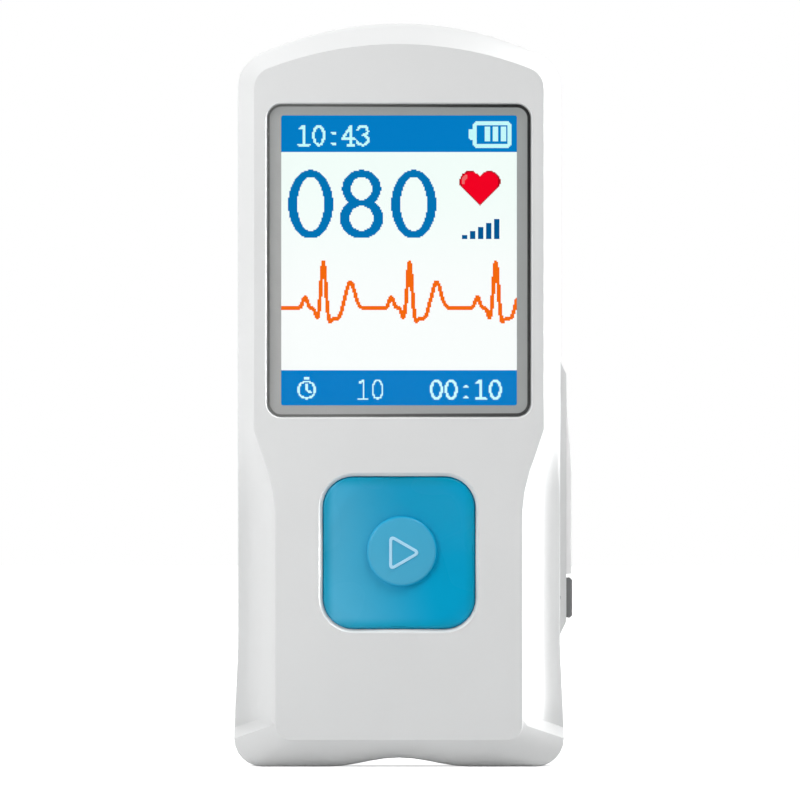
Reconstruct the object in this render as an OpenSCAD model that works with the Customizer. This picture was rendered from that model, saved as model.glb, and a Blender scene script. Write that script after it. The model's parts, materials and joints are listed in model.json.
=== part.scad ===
// Hand-held heart monitor: two-part case, colour screen, one large key, side rocker, metal contact plates.
// Millimetres. The case stands on its feet: X to the right, Z up, the face looks along -Y.

/* [Case] */
// Width of the case across its two sides
case_w = 43.4; // [43:0.2:48]
// Height of the case from its feet to the top of its arch
case_h = 100; // [99:0.5:108]
// Depth of the case from its face to its back
case_d = 14.4; // [14.2:0.1:16]
// Depth of the front shell, from the face to the parting line
front_d = 6.6; // [6.5:0.05:6.8]
// Wall of both shells
wall = 1.5; // [1.4:0.05:1.6]
// Radius of the arch along the top
arch_r = 45; // [40:1:60]
// Radius of the two top shoulders
shoulder_r = 5; // [4:0.5:6]
// Radius of the two bottom corners
foot_r = 3.8; // [3:0.2:4.4]
// How far each side flares out at the feet
foot_flare = 0.5; // [0.2:0.1:0.8]
// Width of the shallow notch between the feet
notch_w = 19; // [16:0.5:22]
// Depth of the notch between the feet
notch_d = 1.2; // [0.6:0.1:1.6]
// Radius of the rounded rear edge
back_edge_r = 2.6; // [1.8:0.1:3]
// Chamfer on each shell where the two shells meet
seam_chamfer = 0.15; // [0.1:0.05:0.2]

/* [Face] */
// Width of the raised face beside the screen
face_w = 39.2; // [38.8:0.2:40]
// Width of the raised face beside the key
face_low_w = 33.4; // [32.8:0.2:35]
// Distance from the top of the arch to the top of the face
face_drop = 2.7; // [2.2:0.1:3.2]
// Distance from the feet to the lower edge of the face
face_lift = 3.5; // [3:0.1:4]
// Radius of the arch along the top of the face
face_arch_r = 49; // [44:1:60]
// Radius of the upper corners of the face
face_shoulder_r = 3; // [2.4:0.1:4]
// Radius of the lower corners of the face
face_foot_r = 2.2; // [1.6:0.1:3]
// Height of the small step round the face
face_step = 0.3; // [0.2:0.05:0.4]
// Depth of the bevel round the face, step included
bevel_d = 2.8; // [2.4:0.1:3.2]

/* [Finger grips] */
// Distance from the window's middle down to where the face starts to narrow
waist_top = 22.8; // [21.5:0.1:24]
// Height over which the face narrows
waist_low = 11.5; // [9.5:0.5:14]
// How far above the start of the waist the hollows in the sides start
grip_top = 3.2; // [2.8:0.1:6]
// Height over which the hollows reach their full depth
grip_low = 12.5; // [10:0.5:15]
// Depth of the hollows' outer rim below the face
grip_rim_d = 5.7; // [5.2:0.1:5.8]

/* [Screen] */
// Width of the window in the face
window_w = 35.6; // [35.4:0.1:36]
// Height of the window in the face
window_h = 42.2; // [41.6:0.1:43]
// Radius of the window's corners
window_r = 2; // [1.6:0.1:2.6]
// Distance from the top of the arch down to the window's middle
window_z = 31.9; // [31.6:0.1:32.4]
// Depth of the pocket that holds the window
pocket_d = 0.9; // [0.8:0.05:1]
// Width of the picture
view_w = 31.7; // [31:0.1:32.4]
// Height of the picture
view_h = 39; // [38:0.1:39.4]
// Gap round the window
lens_gap = 0.12; // [0.08:0.02:0.2]
// How far the window sits below the face
lens_drop = 0.1; // [0.05:0.05:0.2]
// Thickness of the printed border behind the window
mask_t = 0.15; // [0.1:0.05:0.2]
// Thickness of the foam between case and panel
gasket_t = 0.4; // [0.3:0.05:0.5]
// Width of the display module
lcd_w = 35.4; // [34.8:0.1:35.6]
// Height of the display module
lcd_h = 46; // [45.4:0.1:46.4]
// Depth of the display module
lcd_d = 2.2; // [2.1:0.05:2.3]
// Height of the module's border above the picture
lcd_shift = 1.5; // [1.3:0.1:1.7]

/* [Key] */
// Width and height of the square key
key_w = 20.2; // [19.4:0.1:20.8]
// Radius of the key's corners
key_r = 4; // [3:0.1:5]
// Distance from the lower edge of the display module down to the key's middle
key_z = 14.3; // [13.6:0.1:14.7]
// Gap round the key
key_gap = 0.18; // [0.12:0.02:0.25]
// Chamfer round the key's opening
key_bevel = 0.5; // [0.3:0.05:0.6]
// Travel of the key
key_travel = 0.45; // [0.3:0.05:0.5]
// Width of the lip that keeps the key in
key_lip = 1; // [0.7:0.1:1.1]
// Depth of the dish in the key at its middle
dish_d = 1.05; // [0.8:0.05:1.2]
// Radius of the round button in the dish
boss_r = 4.5; // [3.8:0.1:5]
// Height of the round button above the dish
boss_h = 0.8; // [0.6:0.05:0.9]
// Height of the triangle mark
mark_h = 3.9; // [3:0.1:4.5]
// Line width of the triangle mark
mark_line = 0.42; // [0.3:0.02:0.5]

/* [Side rocker and side plate] */
// Height of the rocker
rocker_h = 5.5; // [5:0.1:5.8]
// Depth of the rocker, front to back
rocker_d = 2.8; // [2.4:0.1:3]
// Height of the rocker's middle above the feet
rocker_z = 22.7; // [22.4:0.1:22.9]
// How far the rocker stands out of the case side
rocker_out = 1.65; // [1.5:0.05:1.8]
// Gap round the rocker
rocker_gap = 0.28; // [0.24:0.01:0.3]
// Radius of the rocker's pivot pin
pivot_r = 0.5; // [0.4:0.05:0.55]
// Running clearance of the pivot pin
pivot_gap = 0.05; // [0.03:0.01:0.08]
// Depth of the rocker pin's blind seat behind the slot, inside the raised rim
pin_seat = 0.6; // [0.5:0.05:0.7]
// How far the pad under the rocker and the plate stands out
pad_out = 0.85; // [0.7:0.05:0.9]
// How far the side plate stands out of the pad at its lower end
plate_out = 0.72; // [0.5:0.02:0.8]
// Height of the upper end of the side plate
plate_top = 52.6; // [50:0.2:55]

/* [Rear plates] */
// Width of the rear plates
rear_w = 26; // [22:0.5:28]
// Height of the upper rear plate
upper_h = 11; // [9:0.5:12]
// Height of the lower rear plate
lower_h = 15; // [12:0.5:16]
// Distance from the top of the arch down to the upper rear plate's middle
upper_z = 16.6; // [16.4:0.1:17]
// Distance between the middles of the two rear plates
lower_z = 47.9; // [46.5:0.1:48.5]
// Thickness of the rear plates
rear_t = 0.8; // [0.7:0.05:0.9]
// How far the rear plates stand out of the back
rear_out = 0.3; // [0.2:0.05:0.4]
// Distance between the two studs of a rear plate
stud_pitch = 16; // [14:0.5:18]
// Radius of the studs
stud_r = 0.8; // [0.6:0.05:0.9]

/* [Board] */
// Thickness of the circuit board
board_t = 1; // [0.8:0.1:1.1]
// Width of the board behind the screen
board_w = 34.6; // [33:0.2:35]
// Width of the board behind the key
board_low_w = 29; // [27.6:0.2:29.2]
// Thickness of the tape between panel and board
tape_t = 0.2; // [0.15:0.05:0.25]

/* [Battery] */
// Width of the cell
cell_w = 30; // [27:0.5:31]
// Height of the cell
cell_h = 33; // [30:0.5:33.5]
// Depth of the cell
cell_d = 4.2; // [3.8:0.1:4.3]

/* [Socket] */
// Width of the charging socket
usb_w = 7.6; // [7:0.1:8.4]
// Depth of the charging socket, front to back
usb_d = 2.6; // [2.4:0.1:2.8]
// Length of the charging socket
usb_l = 5.4; // [5:0.1:6]
// Gap round the socket in the case
usb_gap = 0.3; // [0.2:0.05:0.4]

/* [Screws] */
// Radius of the case screws
screw_r = 0.8; // [0.7:0.05:0.9]
// Radius of the case screws' heads
head_r = 1.5; // [1.3:0.1:1.6]
// Depth of the screw holes in the back
head_sink = 2.6; // [2:0.1:3]
// Radius of the screw bosses
post_r = 2.2; // [2.1:0.1:2.4]
// Radius of the threaded inserts
insert_r = 1.3; // [1.2:0.05:1.4]
// Length of the threaded inserts
insert_l = 3; // [2.5:0.1:3.2]

/* [Hidden] */
$fn = 48;
eps = 0.01;
slip = 0.05; // gap between faces of pieces that move past each other

// Layers from the face (-Y) to the back (+Y)
y_face = -case_d / 2;
y_back = case_d / 2;
y_part = y_face + front_d;
y_front_in = y_face + wall;
y_back_in = y_back - wall;
y_ledge = y_face + pocket_d;
y_lens = y_face + lens_drop;
y_mask = y_ledge - mask_t;
y_lcd = y_front_in + gasket_t;
y_tape = y_lcd + lcd_d;
y_board = y_tape + tape_t;
y_rear = y_board + board_t;
cell_foam_t = 0.8;
y_cell = y_back_in - cell_foam_t - cell_d;

// Heights above the feet
window_mid = case_h - window_z;
lcd_mid = window_mid + view_h / 2 + lcd_shift - lcd_h / 2;
lcd_low = lcd_mid - lcd_h / 2;
key_mid = lcd_low - key_z;
waist_top_z = window_mid - waist_top;
waist_low_z = waist_top_z - waist_low;
grip_top_z = waist_top_z + grip_top;
grip_low_z = grip_top_z - grip_low;
upper_mid = case_h - upper_z;
lower_mid = upper_mid - lower_z;

// Case outline
half_w = case_w / 2;
foot_half = half_w + foot_flare;
foot_end = foot_half - foot_r;
flare_h = 14;
arch_z = case_h - arch_r;
shoulder_x = half_w - shoulder_r;
shoulder_z = arch_z + sqrt(pow(arch_r - shoulder_r, 2) - pow(shoulder_x, 2));
shoulder_a = atan2(shoulder_z - arch_z, shoulder_x);

// Face outline
face_half = face_w / 2;
face_low_half = face_low_w / 2;
face_foot_end = face_low_half - face_foot_r;
face_low_z = face_lift + face_foot_r;
face_arch_z = case_h - face_drop - face_arch_r;
face_shoulder_x = face_half - face_shoulder_r;
face_shoulder_z = face_arch_z + sqrt(pow(face_arch_r - face_shoulder_r, 2) - pow(face_shoulder_x, 2));
face_shoulder_a = atan2(face_shoulder_z - face_arch_z, face_shoulder_x);

// Points along each stretch of the two outlines, the same number on both
notch_n = 5;
foot_n = 1;
corner_n = 6;
grip_n = 14;
upper_n = 4;
arch_n = 9;
crease_u = 0.035;
side_u = concat([crease_u / 2, crease_u], [for (i = [1:grip_n]) lerp(crease_u, 1, i / grip_n)]);

function lerp(a, b, t) = a + (b - a) * t;
function smooth(t) = let (u = max(0, min(1, t))) u * u * (3 - 2 * u);
function arc(x, z, r, a0, a1, n) = [for (i = [0:n])
    let (a = lerp(a0, a1, i / n)) [x + r * cos(a), z + r * sin(a)]];
function case_x(z) = half_w + foot_flare * (1 - smooth((z - foot_r) / flare_h));
function narrowing(z) = smooth(pow(max(0, min(1, (waist_top_z - z) / (waist_top_z - waist_low_z))), 0.68));
function face_x(z) = lerp(face_half, face_low_half, narrowing(z));
// Above the waist the points lie close together only where the side hollow runs out
function upper_place(top_z, i) = i < upper_n - 1 ? lerp(waist_top_z, grip_top_z, i / (upper_n - 2))
    : (grip_top_z + top_z) / 2;
function grip(z) = smooth((grip_top_z - z) / (grip_top_z - grip_low_z));

case_half = concat(
    [for (i = [0:notch_n - 1]) [notch_w / 2 * i / notch_n, notch_d * (1 + cos(180 * i / notch_n)) / 2]],
    [for (i = [0:foot_n - 1]) [lerp(notch_w / 2, foot_end, i / foot_n), 0]],
    arc(foot_end, foot_r, foot_r, -90, 0, corner_n),
    [for (u = side_u) let (z = lerp(foot_r, waist_top_z, u)) [case_x(z), z]],
    [for (i = [1:upper_n - 1]) [half_w, upper_place(shoulder_z, i)]],
    arc(shoulder_x, shoulder_z, shoulder_r, 0, shoulder_a, corner_n),
    [for (i = [1:arch_n]) let (a = lerp(shoulder_a, 90, i / arch_n))
        [arch_r * cos(a), arch_z + arch_r * sin(a)]]);

face_half_line = concat(
    [for (i = [0:notch_n - 1]) [face_foot_end / foot_end * notch_w / 2 * i / notch_n, face_lift]],
    [for (i = [0:foot_n - 1])
        [face_foot_end / foot_end * lerp(notch_w / 2, foot_end, i / foot_n), face_lift]],
    arc(face_foot_end, face_low_z, face_foot_r, -90, 0, corner_n),
    [for (u = side_u) let (z = lerp(face_low_z, waist_top_z, u)) [face_x(z), z]],
    [for (i = [1:upper_n - 1]) [face_half, upper_place(face_shoulder_z, i)]],
    arc(face_shoulder_x, face_shoulder_z, face_shoulder_r, 0, face_shoulder_a, corner_n),
    [for (i = [1:arch_n]) let (a = lerp(face_shoulder_a, 90, i / arch_n))
        [face_arch_r * cos(a), face_arch_z + face_arch_r * sin(a)]]);

// How deep the side hollow is at each outline point, 0 to 1
grip_half = concat(
    [for (i = [1:notch_n + foot_n + corner_n + 1]) 0],
    [for (u = side_u) smooth(u / crease_u) * grip(lerp(face_low_z, waist_top_z, u))],
    [for (i = [1:upper_n - 1]) grip(upper_place(face_shoulder_z, i))],
    [for (i = [1:corner_n + 1 + arch_n]) 0]);

function both(half) = concat(half, [for (i = [len(half) - 2:-1:1]) [-half[i][0], half[i][1]]]);
case_line = both(case_half);
face_line = both(face_half_line);
grip_line = concat(grip_half, [for (i = [len(grip_half) - 2:-1:1]) grip_half[i]]);

// The outline moved inwards by d, which may be one number or one for each point
function moved_in(line, d) = let (n = len(line)) [for (i = [0:n - 1])
    let (t = line[(i + 1) % n] - line[(i + n - 1) % n], by = is_list(d) ? d[i] : d)
    line[i] + by * [-t[1], t[0]] / norm(t)];
function at_y(line, y) = [for (i = [0:len(line) - 1]) [line[i][0], is_list(y) ? y[i] : y, line[i][1]]];
function between(a, b, s) = [for (i = [0:len(a) - 1]) lerp(a[i], b[i], s)];

// Depth of the surface round the face: s is 0 at the rim and 1 at the face
function bevel_y(s) = lerp(y_face + bevel_d, y_face + face_step, s);
function hollow_y(s) = lerp(y_face + grip_rim_d, y_face + face_step, pow(s, 2.7));
function round_face(s) = [for (g = grip_line) lerp(bevel_y(s), hollow_y(s), g)];
// Depth of the inner surface, one wall behind the outer one, with the same s
function inner_y(s) = [for (g = grip_line)
    lerp(lerp(y_face + bevel_d + 0.6, y_front_in, s), lerp(y_part, y_front_in, pow(s, 2)), g)];

// A solid through rings of points, listed from the back (+Y) to the front (-Y), closed by a fan at each end
function middle(ring) = [for (k = [0:2]) (min([for (p = ring) p[k]]) + max([for (p = ring) p[k]])) / 2];
module loft(rings) {
    n = len(rings[0]);
    m = len(rings);
    polyhedron(
        points = concat([for (ring = rings) each ring], [middle(rings[0]), middle(rings[m - 1])]),
        faces = concat(
            [for (i = [0:n - 1]) [m * n, i, (i + 1) % n]],
            [for (i = [0:n - 1]) [m * n + 1, (m - 1) * n + (i + 1) % n, (m - 1) * n + i]],
            [for (j = [0:m - 2], i = [0:n - 1]) let (k = (i + 1) % n)
                each [[j * n + i, (j + 1) * n + i, (j + 1) * n + k],
                    [j * n + i, (j + 1) * n + k, j * n + k]]]));
}

// A rounded rectangle as points, and solids cut from it
function rounded(w, h, r, n = 8) = concat(
    arc(w / 2 - r, -h / 2 + r, r, -90, 0, n), arc(w / 2 - r, h / 2 - r, r, 0, 90, n),
    arc(-w / 2 + r, h / 2 - r, r, 90, 180, n), arc(-w / 2 + r, -h / 2 + r, r, 180, 270, n));
function rounded_at(w, h, r, x, z, y) = [for (p = rounded(w, h, r)) [p[0] + x, y, p[1] + z]];

module along_y(y0, y1) {
    translate([0, y1, 0]) rotate([90, 0, 0]) linear_extrude(y1 - y0) children();
}
module along_x(x0, x1) {
    translate([x0, 0, 0]) rotate([90, 0, 90]) linear_extrude(x1 - x0) children();
}
module slab(w, h, r, y0, y1, x = 0, z = 0) {
    along_y(y0, y1) translate([x, z]) polygon(rounded(w, h, r));
}
module edged_slab(w, h, r, y0, y1, edge, x = 0, z = 0) {
    loft([rounded_at(w, h, r, x, z, y1), rounded_at(w, h, r, x, z, y0 + edge),
        rounded_at(w - 2 * edge, h - 2 * edge, r - edge, x, z, y0)]);
}
// A hole through the face with a chamfered mouth
module mouth(w, h, r, y0, y1, edge, x = 0, z = 0) {
    out = edge + 1;
    loft([rounded_at(w, h, r, x, z, y1), rounded_at(w, h, r, x, z, y0 + edge),
        rounded_at(w + 2 * out, h + 2 * out, r + out, x, z, y0 - 1)]);
}
module box(x0, x1, y0, y1, z0, z1) {
    translate([x0, y0, z0]) cube([x1 - x0, y1 - y0, z1 - z0]);
}
module y_rod(r, y0, y1, x = 0, z = 0) {
    translate([x, y0, z]) rotate([-90, 0, 0]) cylinder(r = r, h = y1 - y0);
}
// A strip of thickness t bent along a path of points
module strip(path, t) {
    n = len(path);
    function way(i) = path[min(i + 1, n - 1)] - path[max(i - 1, 0)];
    function side(i, d) = path[i] + d * [-way(i)[1], way(i)[0]] / norm(way(i));
    polygon(concat([for (i = [0:n - 1]) side(i, t / 2)], [for (i = [n - 1:-1:0]) side(i, -t / 2)]));
}
// A wire of radius r along a route
module wire(route, r) {
    n = len(route);
    sides = 8;
    function way(i) = let (w = route[min(i + 1, n - 1)] - route[max(i - 1, 0)]) w / norm(w);
    function across(i) = let (c = cross(way(i), [0, 1, 0])) c / norm(c);
    loft([for (i = [0:n - 1]) let (u = across(i), v = cross(u, way(i)))
        [for (k = [0:sides - 1]) route[i] + r * (cos(360 * k / sides) * u + sin(360 * k / sides) * v)]]);
}

// Screw places as [x, z]
case_screw_x = 12.2;
top_screw_drop = 8.3;
top_screw_z = case_h - top_screw_drop;
foot_screw_z = 7.6;
case_screw_at = [[-case_screw_x, top_screw_z], [case_screw_x, top_screw_z],
    [-case_screw_x, foot_screw_z], [case_screw_x, foot_screw_z]];
board_post_r = 1.6;
board_screw_r = 0.6;
board_head_r = 1.2;
board_head_t = 0.7;
board_top_z = window_mid + view_h / 2 + 1.5;
board_tab_half = 3.2;
board_foot_z = foot_screw_z + post_r + 0.9;
board_foot_x = 12.8;
board_screw_rise = 3.3;
board_screw_at = [[0, board_top_z + 2.1], [-board_foot_x, board_foot_z + board_screw_rise],
    [board_foot_x, board_foot_z + board_screw_rise]];

// Key layers
y_key = y_face + 0.1;
y_lip = y_front_in + slip;
lip_t = 0.6;
y_key_back = y_lip + lip_t;
dish_r = (pow(key_w / 2 + 0.6, 2) + pow(dish_d, 2)) / (2 * dish_d);
y_dish = y_key + dish_d;
y_boss = y_dish - boss_h;
mark_t = 0.1;
switch_d = 1.5;
y_switch = y_board - switch_d;
plunger_r = 1.1;

// Socket layers
y_usb = y_rear + usb_d / 2;
usb_low_z = 2.2;

// Rocker and side plate
rocker_y = y_part + 0.35 + rocker_gap + rocker_d / 2;
x_side = half_w;
x_rocker = x_side + rocker_out;
x_pivot = x_side - 0.4;
x_fork = x_pivot - 2;
x_lever = x_fork - 2.7;
tip_r = 0.4;
slot_half = rocker_h / 2 + rocker_gap;
plate_low = rocker_z + slot_half + 0.15;
pad_low = rocker_z - slot_half - 2;
pad_top = plate_top + 2;
plate_d = 3;

// Rear plates
y_rear_plate = y_back + rear_out;
stud_end = y_back_in - 1.4;

// ---------------------------------------------------------------- case

// Front shell: rings run from its inner ceiling down to the parting line, then up its outside to the face
module front_shell() {
    rim = [for (g = grip_line) lerp(y_face + bevel_d, y_face + grip_rim_d, g)];
    soft = 0.3;
    inner_rim = moved_in(case_line, [for (g = grip_line) lerp(wall, 2 * wall + 0.3, g)]);
    inner_top = moved_in(face_line, wall);
    loft(concat(
        [for (s = [1, 0.9, 0.7, 0.35]) at_y(between(inner_rim, inner_top, s), inner_y(s))],
        [at_y(inner_rim, y_part), at_y(moved_in(case_line, seam_chamfer), y_part),
            at_y(case_line, y_part - seam_chamfer), at_y(case_line, [for (y = rim) y + soft]),
            at_y(moved_in(case_line, 0.08), [for (y = rim) y + soft / 4])],
        [for (s = [0.1, 0.25, 0.4, 0.55, 0.68, 0.8, 0.9, 1])
            at_y(between(case_line, face_line, s), round_face(s))],
        [at_y(face_line, y_face + 0.12), at_y(moved_in(face_line, 0.12), y_face)]));
}

module front_housing() color([0.89, 0.9, 0.9]) difference() {
    union() {
        front_shell();
        for (p = case_screw_at) y_rod(post_r, y_front_in - 0.3, y_part, p[0], p[1]);
        for (p = board_screw_at) y_rod(board_post_r, y_front_in - 0.3, y_board, p[0], p[1]);
    }
    mouth(window_w, window_h, window_r, y_face, y_ledge, 0.15, 0, window_mid);
    slab(view_w + 0.8, view_h + 0.8, 0.6, y_face - 1, y_front_in + 1, 0, window_mid);
    mouth(key_w + 2 * key_gap, key_w + 2 * key_gap, key_r + key_gap, y_face, y_front_in + 1, key_bevel,
        0, key_mid);
    usb_hole();
    for (p = case_screw_at) y_rod(insert_r, y_part - insert_l, y_part + 1, p[0], p[1]);
    for (p = board_screw_at) y_rod(board_screw_r, y_front_in + 0.4, y_board + 1, p[0], p[1]);
}

module usb_hole() {
    translate([0, 0, -1]) linear_extrude(usb_low_z + wall + 2) translate([0, y_usb])
        polygon(rounded(usb_w + 2 * usb_gap, usb_d + 2 * usb_gap, usb_d / 2));
}

// Back shell: rings run from its back down to the parting line, then up its inside
module back_shell() {
    turns = 6;
    inner_turns = 3;
    loft(concat(
        [for (i = [0:turns]) let (a = 90 - 90 * i / turns)
            at_y(moved_in(case_line, back_edge_r * (1 - cos(a))), y_back - back_edge_r * (1 - sin(a)))],
        [at_y(case_line, y_part + seam_chamfer), at_y(moved_in(case_line, seam_chamfer), y_part),
            at_y(moved_in(case_line, wall), y_part)],
        [for (i = [0:inner_turns]) let (a = 90 * i / inner_turns)
            at_y(moved_in(case_line, wall + back_edge_r * (1 - cos(a))),
                y_back_in - back_edge_r * (1 - sin(a)))]));
}

// The raised pad on the right side, flush with the wall at its two ends
module side_pad() {
    along_y(y_part + 0.1, y_part + 0.6 + 2 * rocker_gap + rocker_d + 0.5)
        polygon([[x_side - wall, pad_low], [case_x(pad_low), pad_low], [x_side + pad_out, pad_low + 1.8],
            [x_side + pad_out, pad_top - 1.8], [x_side, pad_top], [x_side - wall, pad_top]]);
}

module back_housing() color([0.88, 0.89, 0.89]) difference() {
    union() {
        back_shell();
        for (p = case_screw_at) y_rod(post_r, y_part, y_back_in + 0.3, p[0], p[1]);
        side_pad();
    }
    usb_hole();
    for (p = case_screw_at) {
        y_rod(screw_r + 0.1, y_part - 1, y_back + 1, p[0], p[1]);
        y_rod(head_r + 0.2, y_back - head_sink, y_back + 1, p[0], p[1]);
    }
    rocker_slot();
    y_rod(pivot_r, y_part - 1, rocker_y + rocker_d / 2 + rocker_gap + pin_seat, x_pivot, rocker_z);
    side_plate_seat();
    for (z = [upper_mid, lower_mid], side = [-1, 1])
        y_rod(stud_r, y_back_in - 1, y_back, side * stud_pitch / 2, z);
    rear_seat(upper_h, upper_mid);
    rear_seat(lower_h, lower_mid);
    for (k = [-1:1]) y_rod(0.5, y_back_in - 1, y_back + 1, buzzer_x + 2 * k, buzzer_z);
}

module rear_seat(h, z) {
    slab(rear_w + 0.1, h + 0.1, 2.05, y_rear_plate - rear_t, y_back + 1, 0, z);
}

module rocker_slot() {
    box(x_side - wall - 2, x_rocker + 1, rocker_y - rocker_d / 2 - rocker_gap,
        rocker_y + rocker_d / 2 + rocker_gap, rocker_z - slot_half, rocker_z + slot_half);
}

module case_screws() color([0.7, 0.71, 0.73]) for (p = case_screw_at) difference() {
    union() {
        y_rod(head_r, y_back - head_sink, y_back - head_sink + 1, p[0], p[1]);
        y_rod(screw_r, y_part - insert_l + 0.4, y_back - head_sink + eps, p[0], p[1]);
    }
    for (a = [0, 90]) translate([p[0], y_back - head_sink + 1, p[1]]) rotate([0, a, 0])
        cube([1.6, 0.9, 0.35], center = true);
}

module case_inserts() color([0.8, 0.65, 0.3]) for (p = case_screw_at) difference() {
    y_rod(insert_r, y_part - insert_l, y_part, p[0], p[1]);
    y_rod(screw_r, y_part - insert_l - 1, y_part + 1, p[0], p[1]);
}

// ---------------------------------------------------------------- screen

lens_w = window_w - 2 * lens_gap;
lens_h = window_h - 2 * lens_gap;
lens_r = window_r - lens_gap;
module screen_lens() color([0.75, 0.8, 0.82, 0.4]) {
    edged_slab(lens_w, lens_h, lens_r, y_lens, y_mask, 0.15, 0, window_mid);
}

module lens_mask() color([0.62, 0.63, 0.63]) difference() {
    slab(lens_w, lens_h, lens_r, y_mask, y_ledge, 0, window_mid);
    slab(view_w, view_h, 0.3, y_mask - 1, y_ledge + 1, 0, window_mid);
}

module lcd_gasket() color([0.15, 0.15, 0.16]) difference() {
    slab(lcd_w - 0.4, view_h + 2 * lcd_shift, 1, y_front_in, y_lcd, 0, window_mid);
    slab(view_w + 1.6, view_h + 1.6, 0.6, y_front_in - 1, y_lcd + 1, 0, window_mid);
}

frame_t = 0.25;
glass_d = 0.9;
glass_w = lcd_w - 2 * frame_t;
glass_h = lcd_h - 2 * frame_t;
y_glass_back = y_lcd + frame_t + glass_d;
module lcd_frame() color([0.75, 0.76, 0.78]) difference() {
    slab(lcd_w, lcd_h, 0.6, y_lcd, y_tape, 0, lcd_mid);
    slab(glass_w, glass_h, 0.4, y_lcd + frame_t, y_tape - frame_t, 0, lcd_mid);
    slab(view_w + 1, view_h + 1, 0.5, y_lcd - 1, y_lcd + 1, 0, window_mid);
    box(-flex_w / 2 - 0.3, flex_w / 2 + 0.3, y_lcd + 0.4, y_tape - 0.4, lcd_low - 1, lcd_low + 1);
}

module lcd_glass() color([0.2, 0.45, 0.7]) {
    slab(glass_w, glass_h, 0.4, y_lcd + frame_t, y_glass_back, 0, lcd_mid);
}

module lcd_backlight() color([0.95, 0.96, 0.98]) {
    slab(glass_w, glass_h, 0.4, y_glass_back, y_tape - frame_t, 0, lcd_mid);
}

module lcd_tape() color([0.85, 0.82, 0.6]) slab(lcd_w - 4, lcd_h - 6, 0.5, y_tape, y_board, 0, lcd_mid);

flex_w = 11;
flex_t = 0.15;
slot_z = lcd_low - 1.2;
conn_h = 2.6;
conn_z = slot_z - 2.3 - conn_h / 2;
module lcd_flex() color([0.8, 0.5, 0.2]) along_x(-flex_w / 2, flex_w / 2)
    strip([[y_lcd + lcd_d / 2, lcd_low + frame_t], [y_lcd + lcd_d / 2, lcd_low - 0.5],
        [y_lcd + lcd_d / 2 + 0.25, lcd_low - 1], [y_lcd + lcd_d / 2 + 0.75, slot_z],
        [y_rear - 0.2, slot_z], [y_rear + 0.3, slot_z - 0.2], [y_rear + 0.5, slot_z - 0.7],
        [y_rear + 0.5, conn_z + conn_h / 2]], flex_t);

module flex_connector() color([0.9, 0.88, 0.8]) {
    box(-flex_w / 2 - 0.8, flex_w / 2 + 0.8, y_rear, y_rear + 1.1, conn_z - conn_h / 2, conn_z + conn_h / 2);
}

// ---------------------------------------------------------------- key

module key_cap() color([0.2, 0.6, 0.77]) union() {
    difference() {
        union() {
            edged_slab(key_w, key_w, key_r, y_key, y_lip + eps, 0.2, 0, key_mid);
            slab(key_w + 2 * key_lip, key_w + 2 * key_lip, key_r + key_lip, y_lip, y_key_back, 0, key_mid);
        }
        translate([0, y_dish - dish_r, key_mid]) sphere(r = dish_r, $fn = 120);
    }
    translate([0, y_dish, key_mid]) rotate([90, 0, 0]) rotate_extrude($fn = 96)
        polygon(concat([[0, -0.4], [boss_r, -0.4]],
            [for (i = [0:6]) [boss_r - 0.3 + 0.3 * cos(15 * i), boss_h - 0.3 + 0.3 * sin(15 * i)]],
            [[0, boss_h]]));
}

mark_w = mark_h * 0.86;
module key_mark() color([0.75, 0.9, 0.97]) along_y(y_boss - mark_t, y_boss)
    translate([mark_w * 0.08, key_mid]) difference() {
        polygon(mark_corners);
        polygon([for (p = mark_corners) p * (1 - 3 * mark_line / mark_h * 0.577 * 2)]);
    }
mark_corners = [[-mark_w / 3, -mark_h / 2], [2 * mark_w / 3, 0], [-mark_w / 3, mark_h / 2]];

module key_plunger() color([0.9, 0.9, 0.88]) {
    y_rod(plunger_r, y_key_back, y_switch + 0.6, 0, key_mid);
}

switch_w = 4.6;
module key_switch() color([0.2, 0.2, 0.21]) difference() {
    box(-switch_w / 2, switch_w / 2, y_switch, y_board, key_mid - switch_w / 2, key_mid + switch_w / 2);
    y_rod(plunger_r + slip, y_switch - 1, y_switch + 0.6 + key_travel + 0.2, 0, key_mid);
}

// ---------------------------------------------------------------- side rocker and side plate

module rocker_key() color([0.42, 0.43, 0.45]) difference() {
    along_y(rocker_y - rocker_d / 2, rocker_y + rocker_d / 2)
        polygon([[x_fork - 0.7, rocker_z - 1.5], [x_pivot, rocker_z - rocker_h / 2 + 0.25],
            [x_rocker - 0.35, rocker_z - rocker_h / 2], [x_rocker, rocker_z - rocker_h / 2 + 0.35],
            [x_rocker, rocker_z + rocker_h / 2 - 0.35], [x_rocker - 0.35, rocker_z + rocker_h / 2],
            [x_pivot, rocker_z + rocker_h / 2 - 0.25], [x_fork - 0.7, rocker_z + 1.5]]);
    y_rod(pivot_r + pivot_gap, rocker_y - rocker_d, rocker_y + rocker_d, x_pivot, rocker_z);
    box(x_fork - 1, x_fork + tip_r + 0.2, rocker_y - lever_t / 2 - 0.15, rocker_y + lever_t / 2 + 0.15,
        rocker_z - tip_r - 0.07, rocker_z + tip_r + 0.07);
}

module rocker_pin() color([0.75, 0.76, 0.78]) {
    y_rod(pivot_r, y_part + 0.15, rocker_y + rocker_d / 2 + rocker_gap + pin_seat, x_pivot, rocker_z);
}

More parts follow.
